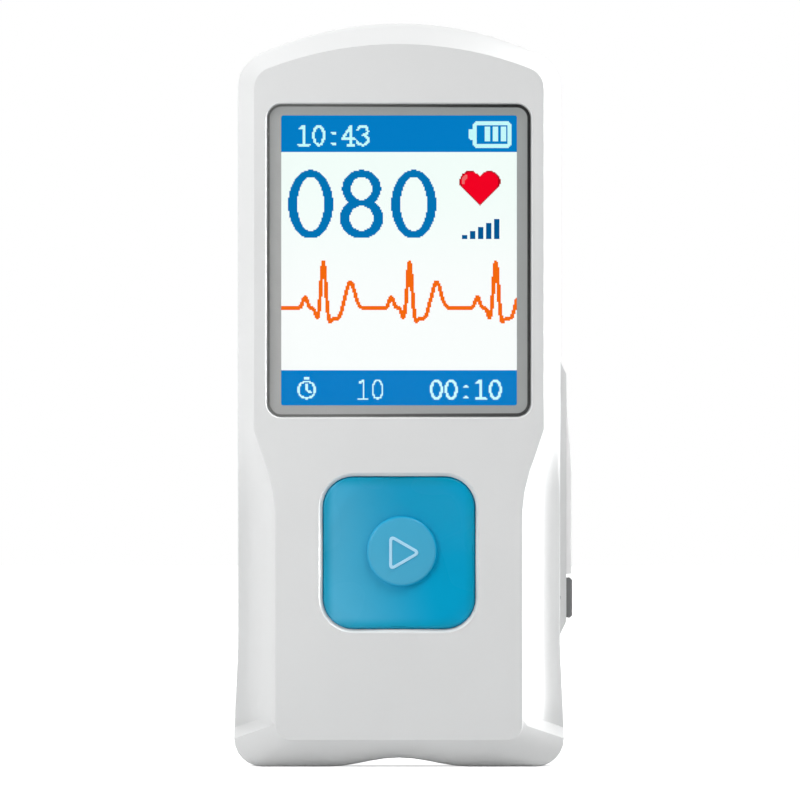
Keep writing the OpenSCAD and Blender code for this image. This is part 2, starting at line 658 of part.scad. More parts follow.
lever_t = 1.1;
hub_r = 0.9;
lever_bore = 0.4;
module rocker_lever() color([0.15, 0.15, 0.16]) difference() {
    union() {
        y_rod(hub_r, rocker_y - lever_t / 2, rocker_y + lever_t / 2, x_lever, rocker_z);
        y_rod(tip_r, rocker_y - lever_t / 2, rocker_y + lever_t / 2, x_fork, rocker_z);
        box(x_lever, x_fork, rocker_y - lever_t / 2, rocker_y + lever_t / 2, rocker_z - 0.3, rocker_z + 0.3);
    }
    y_rod(lever_bore, rocker_y - lever_t, rocker_y + lever_t, x_lever, rocker_z);
}

// The foot of the switch stands back from the sloping wall of the front shell
side_switch_h = 5.2;
side_switch_l = 4;
module rocker_switch() color([0.85, 0.85, 0.83]) union() {
    difference() {
        union() {
            box(x_lever - side_switch_l, x_lever - 0.2, y_rear, y_part,
                rocker_z - side_switch_h / 2, rocker_z + side_switch_h / 2);
            box(x_lever - side_switch_l, x_lever + 0.6, y_part - 0.2, rocker_y + lever_t / 2 + 0.8,
                rocker_z - side_switch_h / 2, rocker_z + side_switch_h / 2);
        }
        box(x_lever - 1.3, x_lever + 1, rocker_y - lever_t / 2 - 0.1, rocker_y + lever_t / 2 + 0.1,
            rocker_z - 1.3, rocker_z + 1.3);
    }
    y_rod(lever_bore - pivot_gap, rocker_y - lever_t / 2 - 0.3, rocker_y + lever_t / 2 + 0.3,
        x_lever, rocker_z);
}

// The side plate's outer line rises from the pad at its top to its full height half way down
plate_line = [for (i = [0:10]) let (z = lerp(plate_low, plate_top, i / 10))
    [x_side + pad_out + plate_out * smooth((plate_top - z) / (plate_top - plate_low) * 1.8) , z]];
plate_root = 0.7;
module side_electrode() color([0.82, 0.83, 0.84]) union() {
    along_y(rocker_y - plate_d / 2, rocker_y + plate_d / 2)
        polygon(concat([for (z = [plate_top, plate_low]) [x_side + pad_out - plate_root, z]], plate_line));
    box(x_side - wall - 0.6, x_side + pad_out - plate_root + eps, rocker_y - 0.6, rocker_y + 0.6,
        side_tab_z - 1, side_tab_z + 1);
}
side_tab_z = 31;
module side_plate_seat() {
    gap = 0.04;
    box(x_side + pad_out - plate_root, x_side + pad_out + 2, rocker_y - plate_d / 2 - gap,
        rocker_y + plate_d / 2 + gap, plate_low, plate_top + gap);
    box(x_side - wall - 1, x_side + pad_out, rocker_y - 0.6, rocker_y + 0.6, side_tab_z - 1, side_tab_z + 1);
}

contact_t = 0.25;
contact_w = 2;
contact_foot = [[board_low_w / 2 - 3, side_tab_z - 1.5], [board_low_w / 2 - 0.2, side_tab_z - 1.5]];
module side_contact() color([0.85, 0.7, 0.35]) union() {
    along_y(y_rear, rocker_y + contact_w / 2) strip(contact_foot, contact_t);
    along_y(rocker_y - contact_w / 2, rocker_y + contact_w / 2)
        strip(concat(contact_foot, [[x_side - wall - 2.4, side_tab_z - 0.6],
            [x_side - wall - 1, side_tab_z + 0.3],
            [x_side - wall - 0.6 - contact_t / 2, side_tab_z + 0.9]]), contact_t);
}

// ---------------------------------------------------------------- rear plates

module rear_plate(h, z) {
    mirrored_slab(rear_w, h, 2, y_rear_plate - rear_t, y_rear_plate, 0.25, z);
    for (side = [-1, 1]) y_rod(stud_r, stud_end, y_rear_plate - rear_t + eps, side * stud_pitch / 2, z);
}
module mirrored_slab(w, h, r, y0, y1, edge, z) {
    loft([rounded_at(w - 2 * edge, h - 2 * edge, r - edge, 0, z, y1), rounded_at(w, h, r, 0, z, y1 - edge),
        rounded_at(w, h, r, 0, z, y0)]);
}
module upper_electrode() color([0.8, 0.81, 0.82]) rear_plate(upper_h, upper_mid);
module lower_electrode() color([0.8, 0.81, 0.82]) rear_plate(lower_h, lower_mid);

nut_r = 1.7;
nut_t = 0.5;
module electrode_nuts() color([0.75, 0.7, 0.5])
    for (z = [upper_mid, lower_mid], side = [-1, 1]) difference() {
        translate([side * stud_pitch / 2, y_back_in, z]) rotate([90, 0, 0])
            cylinder(r = nut_r, h = nut_t, $fn = 6);
        y_rod(stud_r, y_back_in - 2, y_back_in + 1, side * stud_pitch / 2, z);
    }

module leaf(x, z) {
    along_x(x - contact_w / 2, x + contact_w / 2)
        strip([[y_rear + contact_t / 2, z - 3], [y_rear + contact_t / 2, z - 0.6],
            [y_rear + 0.5, z + 0.2], [stud_end - 0.9, z + 2.4], [stud_end - contact_t / 2, z + 0.6],
            [stud_end - contact_t / 2, z - 0.6]], contact_t);
}
module upper_contact() color([0.85, 0.7, 0.35]) leaf(-stud_pitch / 2, upper_mid);
module lower_contact() color([0.85, 0.7, 0.35]) leaf(-stud_pitch / 2, lower_mid);

// ---------------------------------------------------------------- board and what it carries

board_waist_z = waist_top_z - 3.6;
tongue_w = usb_w + 5;
tongue_z = usb_low_z + 1;
board_half = [[tongue_w / 2, tongue_z], [tongue_w / 2, board_foot_z], [board_low_w / 2, board_foot_z],
    [board_low_w / 2, board_waist_z], [board_w / 2, board_waist_z + 2], [board_w / 2, board_top_z - 3],
    [board_w / 2 - 3, board_top_z], [board_tab_half, board_top_z], [board_tab_half, board_top_z + 3.6]];
module main_board() color([0.08, 0.36, 0.2]) difference() {
    along_y(y_board, y_rear) difference() {
        polygon(concat(board_half,
            [for (i = [len(board_half) - 1:-1:0]) [-board_half[i][0], board_half[i][1]]]));
        translate([-flex_w / 2 - 0.5, slot_z - 0.6]) square([flex_w + 1, 1.2]);
    }
    for (p = board_screw_at) y_rod(board_screw_r + 0.1, y_board - 1, y_rear + 1, p[0], p[1]);
}

module board_screws() color([0.3, 0.3, 0.32]) for (p = board_screw_at) difference() {
    union() {
        y_rod(board_head_r, y_rear, y_rear + board_head_t, p[0], p[1]);
        y_rod(board_screw_r, y_front_in + 0.9, y_rear + eps, p[0], p[1]);
    }
    for (a = [0, 90]) translate([p[0], y_rear + board_head_t, p[1]]) rotate([0, a, 0])
        cube([1.4, 0.7, 0.3], center = true);
}

// A flat chip with a row of legs down two sides
leg_l = 0.8;
leg_t = 0.3;
module chip(x, z, w, h, t, legs) {
    box(x - w / 2, x + w / 2, y_rear + 0.1, y_rear + t, z - h / 2, z + h / 2);
    pitch = h / (legs + 0.5);
    for (side = [-1, 1], k = [0:legs - 1])
        translate([x + side * (w / 2 + leg_t), y_rear + leg_t / 2, z - h / 2 + pitch * (k + 0.75)])
            cube([leg_l, leg_t, pitch * 0.45], center = true);
}
processor_w = 9;
processor_t = 1.1;
processor_x = -2;
processor_z = board_waist_z + 20;
module processor() color([0.12, 0.12, 0.13])
    chip(processor_x, processor_z, processor_w, processor_w, processor_t, 12);

memory_w = 4;
memory_h = 5;
memory_t = 0.9;
memory_x = -11.5;
memory_rise = 10;
module memory_chip() color([0.12, 0.12, 0.13])
    chip(memory_x, processor_z + memory_rise, memory_w, memory_h, memory_t, 4);

can_w = 11;
can_h = 10;
can_t = 0.2;
can_d = 1.5;
can_x = 5;
can_rise = 15;
can_z = processor_z + can_rise;
amplifier_w = 5;
amplifier_t = 0.7;
module amplifier_chip() color([0.12, 0.12, 0.13])
    chip(can_x, can_z, amplifier_w, amplifier_w, amplifier_t, 7);
module shield_can() color([0.78, 0.79, 0.8]) difference() {
    slab(can_w, can_h, 0.5, y_rear, y_rear + can_d, can_x, can_z);
    slab(can_w - 2 * can_t, can_h - 2 * can_t, 0.4, y_rear - 1, y_rear + can_d - can_t, can_x, can_z);
}

crystal_w = 3.2;
crystal_h = 1.6;
crystal_t = 0.8;
crystal_x = 7.5;
module crystal() color([0.8, 0.8, 0.82])
    slab(crystal_w, crystal_h, 0.5, y_rear, y_rear + crystal_t, crystal_x, processor_z);

// Resistors and capacitors: two rows behind the screen and one column behind the key
chip_part = [1, 0.6, 2];
module small_part(x, z, across) {
    w = across ? chip_part[2] : chip_part[0];
    h = across ? chip_part[0] : chip_part[2];
    box(x - w / 2, x + w / 2, y_rear, y_rear + chip_part[1], z - h / 2, z + h / 2);
}
module small_parts() color([0.5, 0.42, 0.32]) {
    for (x = [-13:2.6:13], z = [processor_z - 12, processor_z - 8]) small_part(x, z, false);
    for (z = [board_foot_z + 8:2.4:board_waist_z - 13]) small_part(3.5, z, true);
}

buzzer_w = 8.6;
buzzer_t = 2.8;
buzzer_x = -6.5;
buzzer_z = (foot_screw_z + post_r + lower_mid - lower_h / 2) / 2;
module buzzer() color([0.1, 0.1, 0.11]) difference() {
    union() {
        slab(buzzer_w, buzzer_w, 0.8, y_rear, y_rear + buzzer_t - 0.4, buzzer_x, buzzer_z);
        y_rod(buzzer_w / 2 - 0.5, y_rear + buzzer_t - 0.8, y_rear + buzzer_t, buzzer_x, buzzer_z);
    }
    y_rod(0.9, y_rear + buzzer_t - 1, y_rear + buzzer_t + 1, buzzer_x, buzzer_z);
}

usb_wall = 0.3;
module usb_shell() color([0.75, 0.76, 0.78]) difference() {
    translate([0, y_usb, usb_low_z]) linear_extrude(usb_l) polygon(rounded(usb_w, usb_d, 0.9));
    translate([0, y_usb, usb_low_z - 1]) linear_extrude(usb_l)
        polygon(rounded(usb_w - 2 * usb_wall, usb_d - 2 * usb_wall, 0.6));
}
tongue_t = 0.7;
module usb_tongue() color([0.1, 0.1, 0.11]) {
    box(-usb_w / 2 + 1.6, usb_w / 2 - 1.6, y_usb - tongue_t / 2, y_usb + tongue_t / 2,
        usb_low_z + 0.5, usb_low_z + usb_l - 1);
}

cell_z = board_waist_z + 3.6;
module battery_cell() color([0.7, 0.72, 0.75]) translate([0, y_cell + cell_d / 2, cell_z])
    linear_extrude(cell_h) polygon(rounded(cell_w, cell_d, 1.2));
module battery_foam() color([0.2, 0.2, 0.22]) {
    slab(cell_w - 8, cell_h - 8, 1, y_cell + cell_d, y_back_in, 0, cell_z + cell_h / 2);
}

header_x = 9.5;
header_z = board_waist_z - 7;
header_w = 6;
header_h = 4;
header_t = 3;
header_wall = 0.6;
plug_rise = 3;
module battery_header() color([0.93, 0.92, 0.86]) difference() {
    box(header_x - header_w / 2, header_x + header_w / 2, y_rear, y_rear + header_t,
        header_z - header_h / 2, header_z + header_h / 2);
    box(header_x - header_w / 2 + header_wall, header_x + header_w / 2 - header_wall,
        y_rear + header_wall, y_rear + header_t - header_wall + 0.2,
        header_z - header_h / 2 + header_wall, header_z + plug_rise);
}
module battery_plug() color([0.96, 0.95, 0.9]) {
    in = header_wall + slip;
    box(header_x - header_w / 2 + in, header_x + header_w / 2 - in,
        y_rear + in, y_rear + header_t - in + 0.2, header_z - header_h / 2 + in, header_z + plug_rise);
}
// Each lead leaves the plug upwards and goes into the end of the cell
module lead(x, x_cell) {
    y0 = y_rear + 1.6;
    y1 = y_cell + cell_d / 2;
    z0 = header_z + plug_rise;
    wire([for (i = [0:12]) let (t = 1 - i / 12)
        [lerp(x, x_cell, smooth(t)), lerp(y0, y1, smooth(t)), lerp(z0, cell_z, t)]], 0.45);
}
module battery_lead_red() color([0.75, 0.1, 0.1]) lead(header_x - 1, 4);
module battery_lead_black() color([0.1, 0.1, 0.1]) lead(header_x + 1, 6.5);

front_housing();
back_housing();
screen_lens();
lens_mask();
lcd_gasket();
lcd_glass();
lcd_backlight();
lcd_frame();
lcd_tape();
lcd_flex();
flex_connector();
key_cap();
key_mark();
key_plunger();
key_switch();
rocker_key();
rocker_pin();
rocker_lever();
rocker_switch();
side_electrode();
side_contact();
upper_electrode();
lower_electrode();
electrode_nuts();
upper_contact();
lower_contact();
main_board();
processor();
amplifier_chip();
shield_can();
memory_chip();
crystal();
small_parts();
buzzer();
usb_shell();
usb_tongue();
battery_cell();
battery_foam();
battery_header();
battery_plug();
battery_lead_red();
battery_lead_black();
case_screws();
case_inserts();
board_screws();
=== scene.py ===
"""Looks of the hand-held heart monitor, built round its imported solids. Metres, seen along +Y."""

import json
import math

import bmesh
import bpy
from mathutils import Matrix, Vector


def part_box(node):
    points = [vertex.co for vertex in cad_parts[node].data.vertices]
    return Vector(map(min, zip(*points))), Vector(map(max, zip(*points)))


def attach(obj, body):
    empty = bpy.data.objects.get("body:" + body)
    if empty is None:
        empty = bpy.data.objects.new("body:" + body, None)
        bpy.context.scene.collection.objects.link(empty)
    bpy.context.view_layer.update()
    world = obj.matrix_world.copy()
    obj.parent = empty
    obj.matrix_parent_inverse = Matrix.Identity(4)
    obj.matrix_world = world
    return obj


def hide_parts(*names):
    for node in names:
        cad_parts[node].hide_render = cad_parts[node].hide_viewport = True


MM = 0.001
HAIR = 0.01 * MM  # keeps two faces from lying in one plane
WINDOW_CORNER = 1.88 * MM
KEY_SIDE, KEY_CORNER, KEY_RIM = 20.2 * MM, 4 * MM, 0.25 * MM
DISH_DEPTH, DISH_REACH = 1.05 * MM, 10.7 * MM
BUTTON_R, BUTTON_EDGE = 4.75 * MM, 0.46 * MM
BUTTON_X, BUTTON_Z = 0.4 * MM, 0.2 * MM  # the button sits a little off the key's middle
MARK_REACH, MARK_CORNER, MARK_INNER_CORNER = 2.93 * MM, 0.94 * MM, 0.3 * MM
MARK_LINE, MARK_X = 0.4 * MM, 0.14 * MM
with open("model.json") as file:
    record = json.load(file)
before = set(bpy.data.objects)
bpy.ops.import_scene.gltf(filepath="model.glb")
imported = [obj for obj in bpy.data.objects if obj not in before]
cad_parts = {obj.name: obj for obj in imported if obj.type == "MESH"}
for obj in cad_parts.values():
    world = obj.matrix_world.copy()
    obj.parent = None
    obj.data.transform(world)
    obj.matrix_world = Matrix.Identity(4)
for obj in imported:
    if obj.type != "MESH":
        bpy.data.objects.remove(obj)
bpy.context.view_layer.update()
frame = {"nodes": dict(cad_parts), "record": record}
nodes = frame["nodes"]


# ------------------------------------------------------------------ shading


class Socket:
    """A node tree, and one of its sockets: expressions on sockets add their Math nodes."""

    def __init__(self, tree, socket=None):
        self.tree, self.socket = tree, socket

    def make(self, kind, settings=None, inputs=None, output=0):
        node = self.tree.nodes.new("ShaderNode" + kind)
        for name, value in (settings or {}).items():
            if name == "stops":
                ramp = node.color_ramp.elements
                while len(ramp) < len(value):
                    ramp.new(0.5)
                for stop, (place, colour) in zip(ramp, value):
                    stop.position, stop.color = place, (*colour, 1)
            else:
                setattr(node, name, value)
        for name, value in (inputs or {}).items():
            if isinstance(value, Socket):
                self.tree.links.new(value.socket, node.inputs[name])
            else:
                node.inputs[name].default_value = value
        return Socket(self.tree, node.outputs[output] if node.outputs else None)

    def math(self, operation, a, b=0.0):
        return self.make("Math", {"operation": operation}, {0: a, 1: b})

    def __add__(self, other):
        return self.math("ADD", self, other)

    def __radd__(self, other):
        return self.math("ADD", other, self)

    def __sub__(self, other):
        return self.math("SUBTRACT", self, other)

    def __rsub__(self, other):
        return self.math("SUBTRACT", other, self)

    def __mul__(self, other):
        return self.math("MULTIPLY", self, other)

    def __rmul__(self, other):
        return self.math("MULTIPLY", other, self)

    def __truediv__(self, other):
        return self.math("DIVIDE", self, other)

    def abs(self):
        return self.math("ABSOLUTE", self)

    def max(self, other):
        return self.math("MAXIMUM", self, other)

    def hypot(self, other):
        return self.math("SQRT", self * self + other * other)

    def length(self):
        return self.make("VectorMath", {"operation": "LENGTH"}, {0: self}, 1)

    def step(self, low, high):
        """0 below low, 1 above high, and a soft rise between them."""
        return self.make("MapRange", {"interpolation_type": "SMOOTHSTEP"},
                         {"Value": self, "From Min": low, "From Max": high})

    def mix(self, a, b):
        """Colour a where this value is 0, colour b where it is 1."""
        return self.make("Mix", {"data_type": "RGBA"}, {0: self, 6: a, 7: b}, 2)


def place_on(tree):
    """Where the shaded point is, in metres: the vector and its three parts."""
    place = tree.make("TexCoord", output=3)
    return place, *(tree.make("SeparateXYZ", None, {0: place}, k) for k in range(3))


def noise(tree, place, scale, detail=2.0, stretch=(1, 1, 1)):
    """Noise of about one cell in 1 / scale metres, from 0 to 1."""
    at = tree.make("Mapping", None, {"Vector": place, "Scale": tuple(scale * s for s in stretch)})
    return tree.make("TexNoise", None, {"Vector": at, "Scale": 1.0, "Detail": detail})


def rgb(red, green, blue):
    """A colour given as it looks on a screen, 0 to 255, as a linear colour."""
    return tuple((v / 255 / 12.92 if v <= 10 else ((v / 255 + 0.055) / 1.055) ** 2.4)
                 for v in (red, green, blue)) + (1.0,)


def shade(colour, factor):
    return tuple(min(1.0, c * factor) for c in colour[:3]) + (1.0,)


def new_finish(name):
    material = bpy.data.materials.new(name)
    material.use_nodes = True
    material.node_tree.nodes.clear()
    return material, Socket(material.node_tree)


def close_finish(tree, inputs, bump=None, strength=0.3, depth=0.00002):
    """The main shader with its inputs, and a bump of the given depth in metres."""
    if bump is not None:
        inputs["Normal"] = tree.make("Bump", None, {"Height": bump, "Strength": strength, "Distance": depth})
    surface = tree.make("BsdfPrincipled", None, inputs)
    tree.make("OutputMaterial", None, {"Surface": surface})


def moulded(name, colour, rough=0.42, grain=5200, grain_depth=0.000012, coat=0.0, cloud=0.03, **more):
    """Moulded plastic: spark-eroded grain, faint flow clouds and uneven gloss."""
    material, tree = new_finish(name)
    place, *_ = place_on(tree)
    fine = noise(tree, place, grain, 3.0)
    soft = noise(tree, place, 70, 2.0)
    inputs = {"Base Color": soft.mix(shade(colour, 1 - cloud), shade(colour, 1 + cloud)),
              "Roughness": rough - 0.05 + 0.06 * fine + 0.04 * soft, "Coat Weight": coat,
              "Coat Roughness": 0.08}
    inputs.update(more)
    close_finish(tree, inputs, fine, 0.35, grain_depth)
    return material


def metal(name, colour, rough=0.28, along="x", brush=9000, depth=0.000004, stain=0.05, metallic=1.0):
    """Metal with a fine brushed line along one axis and a faint handling film."""
    material, tree = new_finish(name)
    place, *_ = place_on(tree)
    stretch = {"x": (0.02, 1, 1), "y": (1, 0.02, 1), "z": (1, 1, 0.02), "all": (1, 1, 1)}[along]
    lines = noise(tree, place, brush, 2.0, stretch)
    film = noise(tree, place, 260, 3.0)
    tone = 0.6 * lines + 0.4 * film
    inputs = {"Base Color": tone.mix(shade(colour, 1 - stain), shade(colour, 1 + stain)),
              "Metallic": metallic, "Roughness": rough + 0.14 * (lines - 0.5) + 0.10 * (film - 0.5)}
    close_finish(tree, inputs, lines, 0.4, depth)
    return material


def soft_foam(name, colour, cell=3500):
    """Closed-cell foam or soft rubber: round cells with darker pits."""
    material, tree = new_finish(name)
    place, *_ = place_on(tree)
    at = tree.make("Mapping", None, {"Vector": place, "Scale": (cell, cell, cell)})
    cells = tree.make("TexVoronoi", None, {"Vector": at, "Scale": 1.0})
    pits = cells.step(0.05, 0.6)
    inputs = {"Base Color": pits.mix(shade(colour, 1.25), shade(colour, 0.7)), "Roughness": 0.85 + 0.1 * pits}
    close_finish(tree, inputs, pits, 0.5, 0.00003)
    return material


def circuit_board(name):
    """Solder mask over copper runs, with small bright rings where the layers join."""
    material, tree = new_finish(name)
    place, *_ = place_on(tree)
    turned = tree.make("Mapping", None, {"Vector": place, "Rotation": (math.pi / 2, 0, 0)})
    runs = tree.make("TexBrick", {"offset": 0.37, "squash": 1.6, "squash_frequency": 3},
                     {"Vector": turned, "Scale": 420.0, "Mortar Size": 0.09,
                      "Brick Width": 1.7, "Row Height": 0.5}, 1)
    at = tree.make("Mapping", None, {"Vector": place, "Scale": (380, 0, 380)})
    dots = 1 - tree.make("TexVoronoi", None, {"Vector": at, "Scale": 1.0}).step(0.08, 0.12)
    mask = runs.mix(rgb(22, 96, 58), rgb(34, 128, 78))
    inputs = {"Base Color": dots.mix(mask, rgb(212, 196, 140)), "Metallic": dots * 0.8,
              "Roughness": 0.32 + 0.1 * noise(tree, place, 900), "Coat Weight": 0.3, "Coat Roughness": 0.2}
    close_finish(tree, inputs, runs, 0.5, 0.00002)
    return material


def lit_colour(name, colour, glow=1.0):
    """One colour of the picture: each picture dot is lit, with a faint dark line between the dots."""
    material, tree = new_finish(name)
    place, x, _, z = place_on(tree)
    pitch = PICTURE_W / COLUMNS
    gaps = [((at / pitch).math("FRACT", at / pitch + 0.5) - 0.5).abs().step(0.36, 0.5) for at in (x, z)]
    lines = gaps[0].max(gaps[1])
    uneven = noise(tree, place, 45, 1.0)
    level = 1.04 - 0.04 * lines - 0.03 * (uneven - 0.5)
    cool = z.step(window_z - 6 * MM, window_z + 14 * MM)
    lit = shade(colour, glow)
    tint = (0.93, 1, 0.965, 1)  # the upper part of the picture is a little cooler
    tinted = cool.mix(lit, tuple(c * t for c, t in zip(lit, tint)))
    inputs = {"Base Color": shade(colour, 0.03), "Roughness": 0.35 + 0.1 * uneven,
              "Emission Color": level.mix((0, 0, 0, 1), tinted), "Emission Strength": 1.0,
              "Specular IOR Level": 0.0}
    close_finish(tree, inputs)
    return material


def clear_window(name):
    """Clear hard-coated acrylic: it lets the picture through and mirrors more at a slant."""
    material, tree = new_finish(name)
    place, *_ = place_on(tree)
    haze = noise(tree, place, 500, 2.0)
    through = tree.make("BsdfTransparent", None, {"Color": (0.985, 0.99, 0.99, 1)})
    mirror = tree.make("BsdfGlossy", None, {"Color": (1, 1, 1, 1), "Roughness": 0.03 + 0.03 * haze})
    slant = tree.make("LayerWeight", None, {"Blend": 0.5}, 1)
    edge = 0.007 + 0.55 * slant.math("POWER", slant, 5.0)
    surface = tree.make("MixShader", None, {0: edge, 1: through, 2: mirror})
    tree.make("OutputMaterial", None, {"Surface": surface})
    return material


def window_ink_and_painted_shade(name, centre_z, half_w, half_h, corner):
    """Grey ink behind the window, with painted shade on it: a near-black line of painted shade round its edge
    stands for the gap at the window's rim, and painted shadow of the pocket walls darkens the grey and the
    line towards the right and the top and widens the line at the right.
    """
    material, tree = new_finish(name)
    place, x, _, z = place_on(tree)
    over_x = (x.abs() - (half_w - corner)).max(0.0)
    over_z = ((z - centre_z).abs() - (half_h - corner)).max(0.0)
    inside = corner - over_x.hypot(over_z)
    straight = (half_w - x.abs()).math("MINIMUM", half_w - x.abs(), half_h - (z - centre_z).abs())
    to_edge = inside.math("MINIMUM", inside, straight)
    right = x.step(-half_w, half_w)
    top = (z - centre_z).step(-half_h, half_h)
    # painted shadow of the pocket walls: the grey is darker towards the right and the top
    dark = (0.7 * right + 0.3 * top).mix(rgb(184, 183, 182), rgb(173, 175, 174))
    # the edge line is painted shade of the gap round the window, widened at the right by painted shadow
    line_w, shadow_widening_at_right, soft = 0.26 * MM, 0.13 * MM, 0.07 * MM
    line = 1 - (to_edge - shadow_widening_at_right * right).step(line_w, line_w + soft)
    # painted shadow: the edge line is near-black towards the right and the top, dark grey at the left
    edge_shade_colour = (0.8 * right + 0.2 * top).mix(rgb(130, 129, 127), rgb(32, 32, 32))
    specks = noise(tree, place, 6000, 2.0)
    inputs = {"Base Color": line.mix(dark, edge_shade_colour), "Roughness": 0.45 + 0.08 * specks}
    close_finish(tree, inputs, specks, 0.2, 0.000004)
    return material


def key_acrylic(name, centre_z):
    """Tinted glossy acrylic: deeper blue towards its rim, where more of it is looked through, with painted
    shade across the dish: lighter at the left, which faces the light from the right, and darker to the right
    and a little towards the top; the button keeps mostly the lighter blue.
    """
    material, tree = new_finish(name)
    place, x, _, z = place_on(tree)
    away = x.abs().max((z - centre_z).abs())
    rim = away.step(KEY_SIDE / 2 - 1.5 * MM, KEY_SIDE / 2 - 0.2 * MM)
    from_button = (x - BUTTON_X).hypot(z - centre_z - BUTTON_Z)
    button = 1 - from_button.step(BUTTON_R - 0.45 * MM, BUTTON_R - 0.05 * MM)
    drift = noise(tree, place, 90, 1.0)
    # painted shade: the dish is lighter at the left, which faces the light from the right, and darker to the
    # right
    painted_shade_to_right = (x + 0.25 * (z - centre_z)).step(-12 * MM, 4 * MM)
    # lit blue at the left, shaded blue at the right; on the button the painted shade is mostly left out
    body = (painted_shade_to_right * (1 - 0.8 * button)).mix(rgb(82, 179, 215), rgb(0, 162, 207))
    inputs = {"Base Color": (0.8 * rim).mix(body, rgb(0, 153, 189)),
              "Roughness": 0.24 + 0.06 * drift, "Coat Weight": 0.1, "Coat Roughness": 0.06,
              "Specular IOR Level": 0.1}
    close_finish(tree, inputs, drift, 0.1, 0.00002)
    return material


# ------------------------------------------------------------------ modelling


def only(piece):
    """Makes one object the selected and active one."""
    if bpy.context.mode != "OBJECT":
        bpy.ops.object.mode_set(mode="OBJECT")
    bpy.ops.object.select_all(action="DESELECT")
    piece.select_set(True)
    bpy.context.view_layer.objects.active = piece


def edit(piece, kind="FACE"):
    """Goes into edit mode with nothing selected."""
    only(piece)
    bpy.ops.object.mode_set(mode="EDIT")
    bpy.ops.mesh.select_mode(type=kind)
    bpy.ops.mesh.select_all(action="DESELECT")


def pick(piece, faces=None, edges=None, points=None):
    """Selects faces, edges or points by a test on their middle and normal, middle and direction, or place."""
    mesh = bmesh.from_edit_mesh(piece.data)
    for v in mesh.verts:
        if points and points(v.co):
            v.select_set(True)
    for face in mesh.faces:
        if faces and faces(face.calc_center_median(), face.normal):
            face.select_set(True)
    for edge in mesh.edges:
        a, b = (v.co for v in edge.verts)
        if edges and edges((a + b) / 2, (b - a).normalized()):
            edge.select_set(True)
    bmesh.update_edit_mesh(piece.data)


def done(piece):
    """Leaves edit mode."""
    bpy.ops.object.mode_set(mode="OBJECT")
    return piece


def modify(piece, kind, **settings):
    """Adds a modifier and applies it."""
    only(piece)
    modifier = piece.modifiers.new(kind.lower(), kind)
    for name, value in settings.items():
        setattr(modifier, name, value)
    bpy.ops.object.modifier_apply(modifier=modifier.name)


def smooth(piece, degrees=35):
    only(piece)
    bpy.ops.object.shade_smooth_by_angle(angle=math.radians(degrees))
    return piece


def box(name, low, high):
    """A box between two corners, in metres, as the start of a piece."""
    bpy.ops.object.select_all(action="DESELECT")
    middle = [(a + b) / 2 for a, b in zip(low, high)]
    bpy.ops.mesh.primitive_cube_add(size=1, location=middle, scale=[b - a for a, b in zip(low, high)])
    piece = bpy.context.object
    piece.name = name
    bpy.ops.object.transform_apply(location=True, rotation=True, scale=True)
    return piece


def rounded_corners(piece, radius, segments=8):
    """Rounds the edges of a box that run front to back."""
    edit(piece, "EDGE")
    pick(piece, edges=lambda at, way: abs(way.y) > 0.99)
    bpy.ops.mesh.bevel(offset=radius, segments=segments, affect="EDGES")
    return done(piece)


def soft_rim(piece, y, width, segments=3):
    """Rounds the rim that lies in the plane y."""
    edit(piece, "EDGE")
    pick(piece, edges=lambda at, way: abs(way.y) < 0.01 and abs(at.y - y) < 1e-6)
    bpy.ops.mesh.bevel(offset=width, segments=segments, affect="EDGES")
    return done(piece)


def finished_copy(name, source, bevel=0.0, segments=2, degrees=35):
    """A merged copy of a solid, with its sharp edges softened and its curves shaded smooth."""
    piece = bpy.data.objects.new(name, nodes[source].data.copy())
    bpy.context.scene.collection.objects.link(piece)
    edit(piece)
    bpy.ops.mesh.select_all(action="SELECT")
    bpy.ops.mesh.remove_doubles(threshold=1e-6)
    bpy.ops.mesh.customdata_custom_splitnormals_clear()
    if bevel:
        bpy.ops.mesh.dissolve_limited(angle_limit=math.radians(0.5))
    done(piece)
    if bevel:
        modify(piece, "BEVEL", width=bevel, segments=segments, limit_method="ANGLE",
               angle_limit=math.radians(30), use_clamp_overlap=True)
    return smooth(piece, degrees)


def dress(piece, material, body=None, replaces=None):
    """Gives a piece its finish and its body, and hides the solid that it stands for."""
    piece.data.materials.clear()
    piece.data.materials.append(material)
    if body:
        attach(piece, body)
    if replaces:
        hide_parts(replaces)


# ------------------------------------------------------------------ sizes read from the solids

lens_low, lens_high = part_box("screen_lens")
mask_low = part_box("lens_mask")[0]
glass_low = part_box("lcd_glass")[0]
cap_low, cap_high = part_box("key_cap")
mark_low, mark_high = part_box("key_mark")
window_z = (lens_low[2] + lens_high[2]) / 2
key_z = (cap_low[2] + cap_high[2]) / 2

# ------------------------------------------------------------------ picture

COLUMNS, ROWS = 176, 220
PICTURE_W = 31.7 * MM
PICTURE_H = PICTURE_W * ROWS / COLUMNS
TOP_HIDDEN = 2  # rows of the panel that lie behind the upper edge of the printed border
picture = {}


def paint(colour, test, columns, rows):
    """Colours the dots of a block for which the test holds."""
    for c in range(max(0, int(columns[0])), min(COLUMNS, int(columns[1]) + 1)):
        for r in range(max(0, int(rows[0])), min(ROWS, int(rows[1]) + 1)):
            if test(c + 0.5, r + 0.5):
                picture[c, r] = colour


def stroke(colour, points, width):
    """Colours the dots along a line through points."""
    for (x0, y0), (x1, y1) in zip(points, points[1:]):
        steps = max(1, int(math.hypot(x1 - x0, y1 - y0) / 0.25))
        for i in range(steps + 1):
            x, y = x0 + (x1 - x0) * i / steps, y0 + (y1 - y0) * i / steps
            paint(colour, lambda c, r: math.hypot(c - x, r - y) <= width / 2,
                  (x - width, x + width), (y - width, y + width))


def oval(x, y, half_w, half_h, start=0, end=360):
    return [(x + half_w * math.cos(math.radians(a)), y + half_h * math.sin(math.radians(a)))
            for a in range(start, end + 1, 6)]


